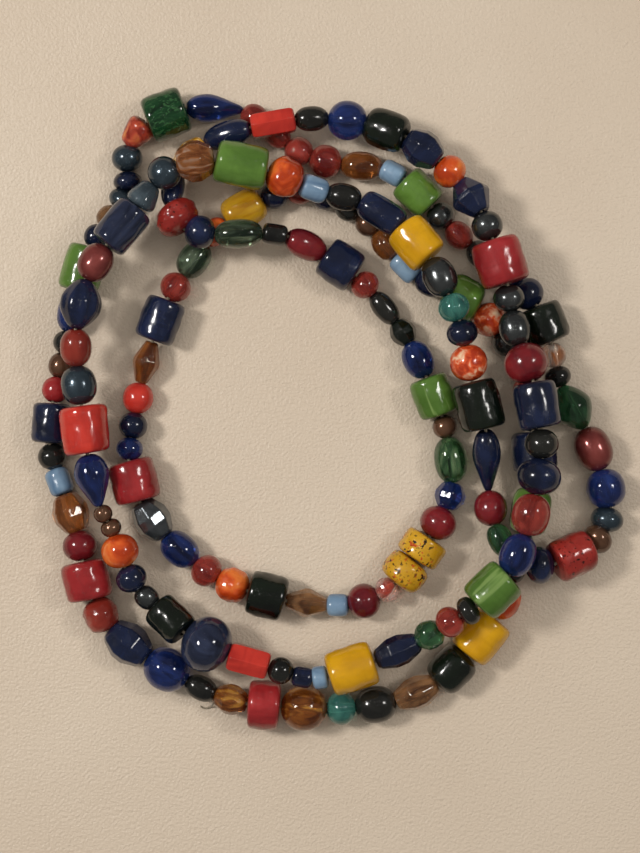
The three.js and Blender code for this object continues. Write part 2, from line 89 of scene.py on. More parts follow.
# The strand from the knot all the way round to the knot again, one row for each bead:
# (shape, look, x, y, length, diameter, layer)
STRAND = [
    # Outer pass, up the left side from the knot
    ("oval", "jet", -0.0310, -0.0680, 0.0075, 0.0060, 0),
    ("round", "cobalt", -0.0395, -0.0635, 0.0105, 0.0105, 0),
    ("faceted", "navy", -0.0490, -0.0575, 0.0110, 0.0100, 0),
    ("nugget", "coral", -0.0560, -0.0505, 0.0085, 0.0085, 0),
    ("drum", "red", -0.0590, -0.0420, 0.0105, 0.0115, 0),
    ("round", "crimson", -0.0600, -0.0335, 0.0075, 0.0085, 0),
    ("faceted", "amber", -0.0620, -0.0255, 0.0105, 0.0090, 0),
    ("tube", "sky", -0.0655, -0.0185, 0.0065, 0.0060, 0),
    ("round", "jet", -0.0675, -0.0120, 0.0060, 0.0070, 0),
    ("drum", "navy", -0.0675, -0.0040, 0.0105, 0.0095, 0),
    ("round", "red", -0.0665, 0.0040, 0.0060, 0.0065, 0),
    ("round", "brown", -0.0650, 0.0100, 0.0060, 0.0060, 0),
    ("round", "jet", -0.0640, 0.0155, 0.0055, 0.0060, 0),
    ("oval", "cobalt", -0.0625, 0.0225, 0.0090, 0.0070, 0),
    ("drum", "pea", -0.0595, 0.0335, 0.0105, 0.0100, 0),
    ("round", "navy", -0.0570, 0.0415, 0.0055, 0.0055, 0),
    ("oval", "brown_clear", -0.0535, 0.0455, 0.0055, 0.0060, 0),
    ("round", "gunmetal", -0.0495, 0.0500, 0.0055, 0.0070, 0),
    ("round", "navy", -0.0480, 0.0540, 0.0060, 0.0070, 0),
    ("round", "gunmetal", -0.0500, 0.0600, 0.0070, 0.0075, 0),
    ("cone", "coral_spotted", -0.0480, 0.0665, 0.0075, 0.0075, 0),
    # Outer pass, across the top and down the right side
    ("drum", "bottle_mottled", -0.0390, 0.0710, 0.0105, 0.0115, 0),
    ("tear_in", "cobalt", -0.0280, 0.0735, 0.0150, 0.0070, 0),
    ("round", "garnet", -0.0180, 0.0710, 0.0065, 0.0065, 0),
    ("round", "garnet", -0.0125, 0.0650, 0.0060, 0.0060, 0),
    ("oval", "garnet", -0.0075, 0.0615, 0.0075, 0.0070, 0),
    ("oval", "garnet", -0.0015, 0.0580, 0.0090, 0.0080, 0),
    ("oval", "amber", 0.0075, 0.0590, 0.0105, 0.0070, 0),
    ("tube", "sky", 0.0155, 0.0570, 0.0060, 0.0055, 0),
    ("drum", "pea", 0.0215, 0.0515, 0.0100, 0.0095, 0),
    ("round", "hematite", 0.0265, 0.0460, 0.0060, 0.0070, 0),
    ("round", "garnet", 0.0310, 0.0415, 0.0065, 0.0065, 0),
    ("round", "jet", 0.0365, 0.0365, 0.0065, 0.0065, 0),
    ("round", "navy", 0.0425, 0.0325, 0.0065, 0.0065, 0),
    ("round", "navy", 0.0485, 0.0275, 0.0065, 0.0080, 0),
    ("drum", "bottle", 0.0515, 0.0195, 0.0100, 0.0110, 0),
    ("round", "clear_orange", 0.0545, 0.0125, 0.0060, 0.0065, 0),
    ("round", "jet", 0.0540, 0.0070, 0.0050, 0.0065, 0),
    # The loose loop on the right
    ("bicone", "emerald", 0.0595, 0.0000, 0.0110, 0.0095, 0),
    ("oval", "garnet_lustre", 0.0635, -0.0105, 0.0110, 0.0090, 0),
    ("oval", "cobalt", 0.0675, -0.0195, 0.0100, 0.0095, 0),
    ("round", "gunmetal", 0.0675, -0.0275, 0.0065, 0.0080, 0),
    ("round", "brown", 0.0650, -0.0325, 0.0060, 0.0075, 0),
    ("drum", "red_pitted", 0.0580, -0.0360, 0.0105, 0.0105, 0),
    # Second pass, back up the inside of the right side
    ("round", "navy", 0.0500, -0.0390, 0.0080, 0.0090, 1),
    ("round", "jet", 0.0445, -0.0375, 0.0050, 0.0050, 1),
    ("oval", "emerald", 0.0400, -0.0325, 0.0080, 0.0060, 1),
    ("round", "crimson", 0.0380, -0.0245, 0.0080, 0.0080, 1),
    ("tear_out", "navy", 0.0380, -0.0125, 0.0150, 0.0070, 1),
    ("drum", "bottle", 0.0360, 0.0000, 0.0125, 0.0110, 1),
    ("round", "coral_marbled", 0.0320, 0.0105, 0.0090, 0.0090, 1),
    ("round", "navy", 0.0320, 0.0175, 0.0070, 0.0075, 1),
    ("round", "teal", 0.0290, 0.0230, 0.0070, 0.0075, 1),
    ("oval", "hematite", 0.0265, 0.0310, 0.0100, 0.0080, 1),
    ("drum", "yellow", 0.0210, 0.0390, 0.0110, 0.0105, 1),
    ("barrel", "navy", 0.0130, 0.0470, 0.0120, 0.0075, 1),
    # Second pass, across the top and down the left side
    ("oval", "jet", 0.0035, 0.0505, 0.0085, 0.0065, 1),
    ("tube", "sky", -0.0040, 0.0510, 0.0060, 0.0060, 1),
    ("nugget", "orange", -0.0105, 0.0550, 0.0075, 0.0095, 1),
    ("drum", "pea", -0.0210, 0.0570, 0.0115, 0.0105, 1),
    ("faceted", "amber_rough", -0.0325, 0.0590, 0.0095, 0.0100, 1),
    ("round", "gunmetal", -0.0395, 0.0560, 0.0080, 0.0080, 1),
    ("cone", "smoke", -0.0440, 0.0500, 0.0065, 0.0075, 1),
    ("drum", "navy_rimmed", -0.0485, 0.0420, 0.0120, 0.0095, 1),
    ("oval", "garnet_lustre", -0.0565, 0.0345, 0.0095, 0.0080, 1),
    ("fluted", "navy", -0.0595, 0.0240, 0.0125, 0.0100, 1),
    ("oval", "coral", -0.0605, 0.0140, 0.0090, 0.0075, 1),
    ("oval", "gunmetal", -0.0600, 0.0050, 0.0090, 0.0085, 1),
    ("drum", "red_bright", -0.0575, -0.0055, 0.0115, 0.0115, 1),
    ("tear_in", "cobalt", -0.0575, -0.0180, 0.0125, 0.0085, 1),
    ("round", "brown", -0.0540, -0.0260, 0.0045, 0.0045, 1),
    ("round", "brown", -0.0520, -0.0285, 0.0045, 0.0050, 1),
    ("round", "orange", -0.0500, -0.0345, 0.0080, 0.0090, 1),
    ("round", "navy", -0.0480, -0.0415, 0.0065, 0.0075, 1),
    ("oval", "hematite", -0.0440, -0.0460, 0.0060, 0.0055, 1),
    # Third pass, along the bottom and up the right side
    ("drum", "bottle", -0.0380, -0.0505, 0.0100, 0.0090, 1),
    ("round", "navy_rimmed", -0.0305, -0.0585, 0.0125, 0.0135, 1),
    ("hex", "red_bright", -0.0190, -0.0600, 0.0105, 0.0075, 1),
    ("round", "jet", -0.0120, -0.0630, 0.0060, 0.0065, 1),
    ("tube", "navy", -0.0065, -0.0650, 0.0050, 0.0050, 1),
    ("tube", "sky", -0.0025, -0.0650, 0.0040, 0.0055, 1),
    ("drum", "yellow", 0.0055, -0.0625, 0.0120, 0.0110, 1),
    ("faceted", "navy", 0.0160, -0.0590, 0.0115, 0.0075, 1),
    ("nugget", "emerald", 0.0240, -0.0545, 0.0060, 0.0070, 1),
    ("round", "garnet", 0.0280, -0.0505, 0.0065, 0.0075, 1),
    ("disc", "jet", 0.0325, -0.0485, 0.0045, 0.0070, 2),
    ("drum", "pea_striped", 0.0390, -0.0435, 0.0110, 0.0110, 2),
    ("oval", "cobalt", 0.0450, -0.0360, 0.0105, 0.0085, 2),
    ("oval", "garnet", 0.0470, -0.0250, 0.0100, 0.0090, 1),
    ("round", "navy", 0.0495, -0.0170, 0.0090, 0.0105, 1),
    ("round", "jet", 0.0500, -0.0090, 0.0065, 0.0080, 1),
    ("drum", "navy", 0.0490, 0.0005, 0.0110, 0.0105, 1),
    ("round", "crimson", 0.0465, 0.0105, 0.0095, 0.0105, 1),
    ("oval", "hematite", 0.0430, 0.0180, 0.0090, 0.0075, 1),
    ("round", "hematite", 0.0425, 0.0255, 0.0060, 0.0075, 1),
    ("drum", "red", 0.0410, 0.0345, 0.0115, 0.0120, 1),
    ("round", "hematite", 0.0370, 0.0425, 0.0065, 0.0075, 1),
    # Third pass, across the top and down to the middle
    ("bicone", "navy", 0.0345, 0.0505, 0.0095, 0.0095, 1),
    ("round", "orange", 0.0285, 0.0560, 0.0075, 0.0080, 1),
    ("faceted", "navy", 0.0225, 0.0615, 0.0100, 0.0090, 1),
    ("barrel", "bottle", 0.0140, 0.0665, 0.0095, 0.0095, 1),
    ("round", "cobalt", 0.0040, 0.0690, 0.0090, 0.0095, 1),
    ("oval", "jet", -0.0045, 0.0690, 0.0080, 0.0060, 1),
    ("hex", "red_bright", -0.0135, 0.0675, 0.0110, 0.0065, 1),
    ("oval", "navy", -0.0240, 0.0655, 0.0105, 0.0065, 0),
    ("faceted", "honey_grained", -0.0345, 0.0620, 0.0080, 0.0075, 0),
    ("round", "navy", -0.0390, 0.0515, 0.0070, 0.0055, 0),
    ("nugget", "red_pitted", -0.0375, 0.0435, 0.0090, 0.0105, 0),
    ("oval", "navy", -0.0315, 0.0405, 0.0085, 0.0080, 1),
    ("oval", "emerald_smoke", -0.0220, 0.0410, 0.0115, 0.0070, 1),
    ("tube", "jet", -0.0130, 0.0415, 0.0060, 0.0050, 1),
    # Inner pass, down the right, along the bottom and up the left
    ("oval", "crimson", -0.0060, 0.0390, 0.0090, 0.0070, 0),
    ("drum", "navy", 0.0035, 0.0345, 0.0095, 0.0105, 0),
    ("round", "garnet", 0.0085, 0.0295, 0.0065, 0.0070, 0),
    ("oval", "jet", 0.0130, 0.0240, 0.0085, 0.0055, 0),
    ("faceted", "bottle", 0.0180, 0.0180, 0.0060, 0.0065, 0),
    ("oval", "cobalt", 0.0215, 0.0115, 0.0090, 0.0075, 0),
    ("drum", "pea_striped", 0.0250, 0.0025, 0.0100, 0.0100, 0),
    ("round", "brown", 0.0280, -0.0050, 0.0055, 0.0060, 0),
    ("oval", "emerald_swirl", 0.0295, -0.0125, 0.0115, 0.0080, 0),
    ("faceted", "cobalt", 0.0300, -0.0220, 0.0070, 0.0075, 0),
    ("round", "crimson", 0.0260, -0.0280, 0.0080, 0.0090, 0),
    ("drum", "yellow_speckled", 0.0225, -0.0340, 0.0065, 0.0110, 0),
    ("barrel", "yellow_speckled", 0.0180, -0.0400, 0.0065, 0.0110, 0),
    ("faceted", "clear_red", 0.0140, -0.0445, 0.0050, 0.0065, 0),
    ("round", "crimson", 0.0085, -0.0480, 0.0080, 0.0085, 0),
    ("tube", "sky", 0.0020, -0.0480, 0.0050, 0.0055, 0),
    ("bicone", "brown_clear", -0.0060, -0.0480, 0.0100, 0.0070, 0),
    ("drum", "bottle", -0.0150, -0.0455, 0.0095, 0.0110, 0),
    ("nugget", "orange", -0.0240, -0.0435, 0.0080, 0.0085, 0),
    ("round", "garnet", -0.0300, -0.0400, 0.0075, 0.0080, 0),
    ("oval", "cobalt", -0.0360, -0.0345, 0.0100, 0.0080, 0),
    ("faceted", "silver", -0.0440, -0.0280, 0.0105, 0.0090, 0),
    ("drum", "red", -0.0475, -0.0180, 0.0110, 0.0115, 0),
    ("round", "cobalt", -0.0490, -0.0100, 0.0060, 0.0065, 0),
    ("round", "navy", -0.0470, -0.0050, 0.0065, 0.0070, 0),
    ("round", "red_bright", -0.0470, 0.0020, 0.0070, 0.0075, 0),
    ("bicone", "amber", -0.0440, 0.0110, 0.0100, 0.0065, 0),
    ("drum", "navy", -0.0415, 0.0210, 0.0115, 0.0100, 0),
    ("round", "garnet", -0.0375, 0.0290, 0.0070, 0.0075, 0),
    ("oval", "emerald_smoke", -0.0330, 0.0350, 0.0090, 0.0075, 0),
    ("round", "orange", -0.0280, 0.0430, 0.0070, 0.0065, 0),
    # Last pass, over to the right side and back along the bottom to the knot
    ("barrel", "honey", -0.0210, 0.0475, 0.0105, 0.0090, 0),
    ("round", "navy", -0.0135, 0.0515, 0.0065, 0.0065, 0),
    ("round", "garnet", -0.0075, 0.0525, 0.0060, 0.0060, 0),
    ("round", "navy", -0.0010, 0.0510, 0.0060, 0.0060, 0),
    ("round", "jet", 0.0045, 0.0480, 0.0060, 0.0060, 0),
    ("round", "brown", 0.0095, 0.0445, 0.0060, 0.0060, 0),
    ("nugget", "amber", 0.0135, 0.0395, 0.0070, 0.0065, 0),
    ("tube", "sky", 0.0180, 0.0330, 0.0070, 0.0055, 0),
    ("oval", "navy", 0.0240, 0.0290, 0.0075, 0.0065, 0),
    ("barrel", "pea", 0.0330, 0.0275, 0.0095, 0.0105, 0),
    ("nugget", "coral_marbled", 0.0385, 0.0210, 0.0080, 0.0080, 0),
    ("round", "jet", 0.0425, 0.0155, 0.0060, 0.0060, 0),
    ("round", "navy", 0.0455, 0.0100, 0.0060, 0.0060, 0),
    ("round", "garnet", 0.0475, 0.0035, 0.0060, 0.0060, 0),
    ("round", "jet", 0.0485, -0.0025, 0.0060, 0.0060, 0),
    ("drum", "navy", 0.0495, -0.0110, 0.0095, 0.0110, 0),
    ("oval", "jet", 0.0495, -0.0180, 0.0040, 0.0050, 0),
    ("barrel", "pea", 0.0490, -0.0250, 0.0110, 0.0095, 0),
    ("round", "navy", 0.0465, -0.0335, 0.0055, 0.0055, 0),
    ("round", "jet", 0.0445, -0.0395, 0.0055, 0.0055, 0),
    ("oval", "orange", 0.0425, -0.0470, 0.0085, 0.0085, 0),
    ("drum", "yellow", 0.0365, -0.0555, 0.0105, 0.0110, 0),
    ("barrel", "bottle", 0.0295, -0.0635, 0.0090, 0.0100, 0),
    ("faceted", "brown_clear", 0.0215, -0.0705, 0.0105, 0.0080, 0),
    ("oval", "jet", 0.0110, -0.0720, 0.0095, 0.0090, 0),
    ("round", "teal", 0.0025, -0.0730, 0.0070, 0.0080, 0),
    ("round", "amber_golden", -0.0060, -0.0730, 0.0110, 0.0110, 0),
    ("drum", "red", -0.0160, -0.0715, 0.0080, 0.0120, 0),
    ("faceted", "amber_golden", -0.0240, -0.0715, 0.0080, 0.0075, 0),
]

# Rough outlines that set how high a bead rests: (place from -0.5 to 0.5, share of the radius)
REST_OUTLINES = {
    "drum": [(-0.5, 0.86), (-0.42, 1), (0.42, 1), (0.5, 0.86)],
    "barrel": [(-0.38, 0.96), (0.38, 0.96)],
    "tube": [(-0.4, 0.96), (0.4, 0.96)],
    "hex": [(-0.4, 0.98), (0.4, 0.98)],
    "cone": [(-0.4, 0.62), (0.24, 1)],
    "tear_in": [(-0.25, 0.96), (0.36, 0.62)],
    "tear_out": [(-0.36, 0.62), (0.25, 0.96)],
    "round": [(-0.2, 0.96), (0.2, 0.96)],
    "oval": [(-0.22, 0.96), (0.22, 0.96)],
    "nugget": [(-0.22, 0.94), (0.26, 0.96)],
    "faceted": [(-0.22, 0.96), (0.22, 0.96)],
    "disc": [(-0.2, 0.96), (0.2, 0.96)],
    "fluted": [(-0.16, 0.98), (0.16, 0.98)],
    "bicone": [(-0.14, 0.96), (0.14, 0.96)],
}

# Looks whose name isn't a material slot of the record, with the slot that they belong to
LOOK_SLOTS = {
    "coral_spotted": "coral",
    "coral_marbled": "coral",
    "clear_orange": "clear",
    "clear_red": "clear",
    "red_pitted": "red",
    "red_bright": "red",
    "navy_rimmed": "navy",
    "pea_striped": "pea",
    "yellow_speckled": "yellow",
    "emerald_swirl": "emerald",
    "emerald_smoke": "emerald",
    "honey_grained": "honey",
    "amber_golden": "amber",
    "amber_rough": "amber",
    "garnet_lustre": "garnet",
    "silver": "hematite",
    "smoke": "hematite",
    "brown_clear": "brown",
    "bottle_mottled": "bottle",
}


class Bead:
    def __init__(self, index, shape, look, x, y, length, diameter, layer):
        self.index = index
        self.shape = shape
        self.look = look
        self.slot = LOOK_SLOTS.get(look, look)
        self.place = Vector((x, y))
        self.length = length
        self.radius = diameter / 2
        self.layer = layer
        self.node = None


beads = [Bead(index, *row) for index, row in enumerate(STRAND)]
COUNT = len(beads)
KNOT_JOINT = COUNT - 1


# ---- Where the thread runs ----

def plan_joints():
    """Places between two beads, in proportion to the beads' lengths."""
    places = []
    for bead in beads:
        following = beads[(bead.index + 1) % COUNT]
        places.append(bead.place.lerp(following.place, bead.length / (bead.length + following.length)))
    return places


plan = plan_joints()
spans = [(plan[i] - plan[i - 1]).length for i in range(COUNT)]
PERIMETER = sum(spans)
middles = [sum(spans[:i]) + spans[i] / 2 for i in range(COUNT)]


def fall(distance):
    """How far the strand has come down at a distance from the bead that holds it up."""
    bend = CLIMB * CREST_RADIUS
    if distance < bend:
        return distance ** 2 / (2 * CREST_RADIUS)
    return bend ** 2 / (2 * CREST_RADIUS) + CLIMB * (distance - bend)


def drape(heights):
    """Height of the thread at each joint, when every bead holds it up."""
    result = []
    for joint in range(COUNT):
        here = middles[joint] + spans[joint] / 2
        highest = 0
        for i, height in enumerate(heights):
            apart = abs(here - middles[i])
            way = min(apart, PERIMETER - apart) - spans[i] / 2
            highest = max(highest, height - fall(max(0, way)))
        result.append(highest)
    return result


def radius_at(bead, along):
    """Radius of the resting outline at a place from -0.5 to 0.5 along the bead."""
    neck = NECK_RADIUS / bead.radius
    outline = [(-0.5, neck), *REST_OUTLINES[bead.shape], (0.5, neck)]
    step = next(k for k in range(1, len(outline)) if outline[k][0] >= along or k == len(outline) - 1)
    (start, share_from), (end, share_to) = outline[step - 1], outline[step]
    share = 1 if end == start else (along - start) / (end - start)
    return bead.radius * (share_from + (share_to - share_from) * share)


def height_over(i, j, heights):
    """Lowest height at which bead i clears bead j."""
    start, end = plan[i - 1], plan[i]
    a, b = plan[j - 1], plan[j]
    way = b - a
    height = 0
    for station in range(STATIONS):
        along = (station + 0.5) / STATIONS - 0.5
        point = start.lerp(end, along + 0.5)
        share = min(1, max(0, (point - a).dot(way) / way.length_squared))
        apart = (point - a - way * share).length
        reach = radius_at(beads[i], along) + radius_at(beads[j], share - 0.5) + REST_CLEARANCE
        under = heights[j - 1] + (heights[j] - heights[j - 1]) * share
        if apart < reach:
            height = max(height, under + math.sqrt(reach ** 2 - apart ** 2))
    return height


def pairs_that_may_touch():
    """Each bead of an upper pass with each bead near it of a pass below."""
    pairs = []
    for upper in beads:
        for lower in beads:
            apart = abs(upper.index - lower.index)
            if lower.layer >= upper.layer or min(apart, COUNT - apart) <= NEAR_ON_THREAD:
                continue
            reach = upper.length + lower.length + upper.radius + lower.radius
            if (upper.place - lower.place).length < reach:
                pairs.append((upper.index, lower.index))
    return pairs


def settle():
    """Heights of the joints, once each pass lies on the ones below."""
    heights = [bead.radius for bead in beads]
    pairs = pairs_that_may_touch()
    for _ in range(SETTLING_SWEEPS):
        joint_heights = drape(heights)
        for i, j in pairs:
            heights[i] = max(heights[i], height_over(i, j, joint_heights))
    return drape(heights)


joints = [Vector((*place, height)) for place, height in zip(plan, settle())]


# ---- Which CAD node holds each bead ----

def name_nodes():
    """Gives each bead its node: its own for a drum, and a shared one for a run of others."""
    drums = 0
    runs = 0
    first = 0
    for bead in beads:
        following = beads[(bead.index + 1) % COUNT]
        if bead.shape == "drum":
            drums += 1
            bead.node = f"drum_{bead.slot}_{drums:02d}"
            first = bead.index + 1
        elif following.shape == "drum" or bead.index in (KNOT_JOINT, LOOP_FIRST - 1):
            runs += 1
            for member in beads[first:bead.index + 1]:
                member.node = f"bead_run_{runs:02d}"
            first = bead.index + 1


name_nodes()


def align_with_frame():
    """Moves the joints so that a level drum bead lies where its CAD node does."""
    drum = next(bead for bead in beads if bead.shape == "drum")
    low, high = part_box(drum.node)
    middle = (joints[drum.index] + joints[drum.index - 1]) / 2
    shift = (low + high) / 2 - middle
    for joint in joints:
        joint.x += shift.x
        joint.y += shift.y


align_with_frame()


def body_of(node):
    return frame["nodes"][node]["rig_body"]


def thread_frame(point, direction):
    """A matrix with Z along the thread and X as near to upright as that allows."""
    side = direction.cross(Vector((0, 0, 1))).normalized()
    top = side.cross(direction).normalized()
    matrix = Matrix((top, side, direction)).transposed().to_4x4()
    matrix.translation = point
    return matrix


# ---- Camera ----

VIEW_WIDTH = 0.1536  # the width of table that the picture shows
VIEW_CENTRE = Vector((-0.0019, -0.0043))
CAMERA_HEIGHT = 0.46
FOCUS_HEIGHT = 0.007  # the height at which VIEW_WIDTH holds
SENSOR_WIDTH = 36  # in millimetres, as Blender takes it


def make_camera():
    data = bpy.data.cameras.new("camera")
    data.sensor_fit = "HORIZONTAL"
    data.sensor_width = SENSOR_WIDTH
    data.lens = SENSOR_WIDTH * (CAMERA_HEIGHT - FOCUS_HEIGHT) / VIEW_WIDTH
    data.clip_start = 0.01
    data.clip_end = 10
    camera = bpy.data.objects.new("camera", data)
    camera.location = (VIEW_CENTRE.x, VIEW_CENTRE.y, CAMERA_HEIGHT)
    bpy.context.scene.collection.objects.link(camera)
    bpy.context.scene.camera = camera


make_camera()


# ---- Materials ----

def srgb(code):
    """A linear colour from a six-digit sRGB code."""
    channels = [int(code[k:k + 2], 16) / 255 for k in (0, 2, 4)]
    linear = [c / 12.92 if c <= 0.04045 else ((c + 0.055) / 1.055) ** 2.4 for c in channels]
    return (*linear, 1)


BEAD_SHIFT = 7.3  # spreads the beads over the pattern, so that no two look alike


class Surface:
    """A material with a Principled shader, and short ways to add nodes to it."""

    def __init__(self, name, **values):
        self.material = bpy.data.materials.new(name)
        self.material.use_nodes = True
        self.tree = self.material.node_tree
        self.shader = self.tree.nodes["Principled BSDF"]
        self.set(self.shader, values)
        self.places = self.tree.nodes.new("ShaderNodeTexCoord")
        self.random = self.tree.nodes.new("ShaderNodeObjectInfo").outputs["Random"]

    def feed(self, socket, value):
        """Links another socket to this one, or sets it to a constant."""
        if isinstance(value, bpy.types.NodeSocket):
            self.tree.links.new(value, socket)
        else:
            socket.default_value = value

    def set(self, node, values):
        for name, value in values.items():
            self.feed(node.inputs[name.replace("_", " ")], value)

    def add(self, kind, **values):
        node = self.tree.nodes.new(kind)
        self.set(node, values)
        return node

    def math(self, operation, first, second):
        node = self.tree.nodes.new("ShaderNodeMath")
        node.operation = operation
        self.feed(node.inputs[0], first)
        self.feed(node.inputs[1], second)
        return node.outputs[0]

    def spot(self, stretch=(1, 1, 1)):
        """Object coordinates, moved by a different amount on each bead."""
        mapping = self.add("ShaderNodeMapping", Vector=self.places.outputs["Object"], Scale=stretch)
        shift = self.math("MULTIPLY", self.random, BEAD_SHIFT)
        mover = self.add("ShaderNodeCombineXYZ", X=shift, Y=shift, Z=shift)
        self.tree.links.new(mover.outputs[0], mapping.inputs["Location"])
        return mapping.outputs[0]

    def noise(self, size, stretch=(1, 1, 1), detail=3.0, twist=0.0):
        """Noise with features of about this size, in metres."""
        node = self.add("ShaderNodeTexNoise", Vector=self.spot(stretch), Scale=1 / size, Detail=detail,
                        Distortion=twist)
        return node.outputs["Fac"]

    def ramp(self, factor, *stops):
        """Colours by a factor, from stops of (place, colour)."""
        node = self.tree.nodes.new("ShaderNodeValToRGB")
        self.tree.links.new(factor, node.inputs[0])
        elements = node.color_ramp.elements
        while len(elements) < len(stops):
            elements.new(0.5)
        for element, (place, colour) in zip(elements, stops):
            element.position = place
            element.color = colour
        return node.outputs["Color"]

    def mask(self, factor, low, high):
        """Black below low, white above high."""
        return self.ramp(factor, (low, (0, 0, 0, 1)), (high, (1, 1, 1, 1)))

    def mix(self, factor, first, second):
        node = self.tree.nodes.new("ShaderNodeMix")
        node.data_type = "RGBA"
        factor_socket, colour_a, colour_b = node.inputs[0], node.inputs[6], node.inputs[7]
        self.feed(factor_socket, factor)
        self.feed(colour_a, first)
        self.feed(colour_b, second)
        return node.outputs[2]

    def rim(self, blend):
        """0 where the surface faces the eye, and 1 where it turns away."""
        return self.add("ShaderNodeLayerWeight", Blend=blend).outputs["Facing"]

    def ends(self):
        """1 at the two ends of a bead and 0 along its middle."""
        parts = self.add("ShaderNodeSeparateXYZ", Vector=self.places.outputs["Generated"])
        off = self.math("ABSOLUTE", self.math("SUBTRACT", parts.outputs["Z"], 0.5), 0)
        return self.mask(off, 0.45, 0.5)

    def base_colour(self):
        """What feeds the colour so far, for another layer to go on it."""
        return self.shader.inputs["Base Color"].links[0].from_socket

    def colour(self, socket):
        self.tree.links.new(socket, self.shader.inputs["Base Color"])

    def bump(self, height, depth, strength=1.0):
        node = self.add("ShaderNodeBump", Height=height, Distance=depth, Strength=strength)
        self.tree.links.new(node.outputs[0], self.shader.inputs["Normal"])

    def handled(self, depth=0.00008):
        """The faint pits and ripples of hand-worked glass, with duller worn ends."""
        ripples = self.noise(0.0022, detail=1.0)
        pits = self.mask(self.noise(0.00035, detail=2.0), 0.62, 0.7)
        self.bump(self.math("SUBTRACT", ripples, self.math("MULTIPLY", pits, 0.25)), depth)
        base = self.shader.inputs["Roughness"].default_value
        worn = self.math("MULTIPLY", self.ends(), 0.25)
        scuffs = self.math("MULTIPLY", self.mask(self.noise(0.0009, (1, 1, 0.25)), 0.5, 0.8), 0.06)
        total = self.math("ADD", self.math("ADD", worn, scuffs), base)
        self.tree.links.new(total, self.shader.inputs["Roughness"])


def opaque_glass(name, dark, light, roughness=0.16):
    """Solid-coloured glass, wound round a rod: its colour wanders, with faint darker bands and painted shade
    at the two ends where the beads meet.
    """
    surface = Surface(name, Roughness=roughness, IOR=1.52, Coat_Weight=0.25, Coat_Roughness=0.04)
    body = surface.ramp(surface.noise(0.006, (1, 1, 0.45), 4.0, 0.6), (0.3, srgb(dark)), (0.7, srgb(light)))
    bands = surface.mask(surface.noise(0.0018, (0.3, 0.3, 1.5), 2.0), 0.5, 0.8)
    banded = surface.mix(surface.math("MULTIPLY", bands, 0.45), body, srgb(dark))
    # Painted shade: the colour darkens towards the two hole ends, where one bead meets the next.
    surface.colour(surface.mix(surface.math("MULTIPLY", surface.ends(), 0.4), banded, srgb(dark)))
    surface.handled()
    return surface


def clear_glass(name, deep, pale, through=0.75, swirl=0.004):
    """Coloured glass that light passes through, deeper in the middle and paler at the rim. The paler rim is
    painted light, a painted glow where light would shine through the thin edge.
    """
    surface = Surface(name, Roughness=0.05, IOR=1.5, Transmission_Weight=through, Coat_Weight=0.3)
    streaks = surface.noise(swirl, (1, 1, 0.35), 3.0, 1.2)
    body = surface.ramp(streaks, (0.35, srgb(deep)), (0.68, srgb(pale)))
    # Painted light: the colour turns paler towards the rim, a painted glow standing in for light through the
    # thin edge.
    surface.colour(surface.mix(surface.rim(0.35), body, srgb(pale)))
    surface.handled()
    return surface


def lustre_glass(name, dark, light, metal=0.6):
    """Glass with a thin metal film that wanders in tone, with painted shade that darkens it at the rim."""
    surface = Surface(name, Roughness=0.2, Metallic=metal, IOR=1.5, Coat_Weight=0.5, Coat_Roughness=0.04)
    film = surface.noise(0.004, detail=3.0, twist=0.8)
    tone = surface.mix(film, srgb(dark), srgb(light))
    # Painted shade: the colour turns darker where the surface turns away at the rim.
    surface.colour(surface.mix(surface.rim(0.5), tone, srgb(dark)))
    surface.handled()
    return surface


def marbled_glass(name, base, second, third, size=0.003):
    """Opaque glass with cloudy patches of two other colours."""
    surface = Surface(name, Roughness=0.16, IOR=1.52, Coat_Weight=0.4, Coat_Roughness=0.05)
    cloud = surface.noise(size, detail=4.0, twist=0.5)
    surface.colour(surface.ramp(cloud, (0.42, srgb(base)), (0.55, srgb(second)), (0.7, srgb(third))))
    surface.handled(0.00014)
    return surface


def speckled_glass(name, base, light, speck, other, share=0.6):
    """Opaque glass with patches of melted-in grains of two other colours."""
    surface = opaque_glass(name, base, light)
    body = surface.base_colour()
    patch = surface.mask(surface.noise(0.006, detail=1.0), 0.34, 0.5)
    dark_grains = surface.mask(surface.noise(0.0009, detail=2.0), share, share + 0.03)
    light_grains = surface.mask(surface.noise(0.0013, (1.4, 1, 1), 2.0), share + 0.02, share + 0.05)
    specked = surface.mix(surface.math("MULTIPLY", light_grains, patch), body, srgb(other))
    surface.colour(surface.mix(surface.math("MULTIPLY", dark_grains, patch), specked, srgb(speck)))
    return surface


def striped_glass(name, base, light, stripe):
    """Opaque glass with pale stripes along the bead."""
    surface = opaque_glass(name, base, light)
    body = surface.base_colour()
    stripes = surface.mask(surface.noise(0.0022, (1, 1, 0.06), 2.0), 0.56, 0.66)
    surface.colour(surface.mix(surface.math("MULTIPLY", stripes, 0.6), body, srgb(stripe)))
    return surface


def cored_glass(name, shell, core, stripe, through=0.8):
    """A clear shell over a coloured core with twisted stripes."""
    surface = clear_glass(name, shell, shell, through=through)
    twisted = surface.noise(0.0028, (1, 1, 0.3), 2.0, 1.0)
    body = surface.ramp(twisted, (0.4, srgb(core)), (0.55, srgb(shell)), (0.68, srgb(stripe)))
    surface.colour(surface.mix(surface.rim(0.3), body, srgb(shell)))
    return surface


def crackled_glass(name, deep, pale, line):
    """Deep translucent glass full of fine pale lines."""
    surface = clear_glass(name, deep, pale, through=0.3, swirl=0.003)
    # This colour already holds the painted glow at the rim from clear_glass.
    body = surface.base_colour()
    lines = surface.mask(surface.noise(0.0011, (1, 1, 0.5), 4.0, 1.5), 0.52, 0.62)
    surface.colour(surface.mix(surface.math("MULTIPLY", lines, 0.55), body, srgb(line)))
    return surface


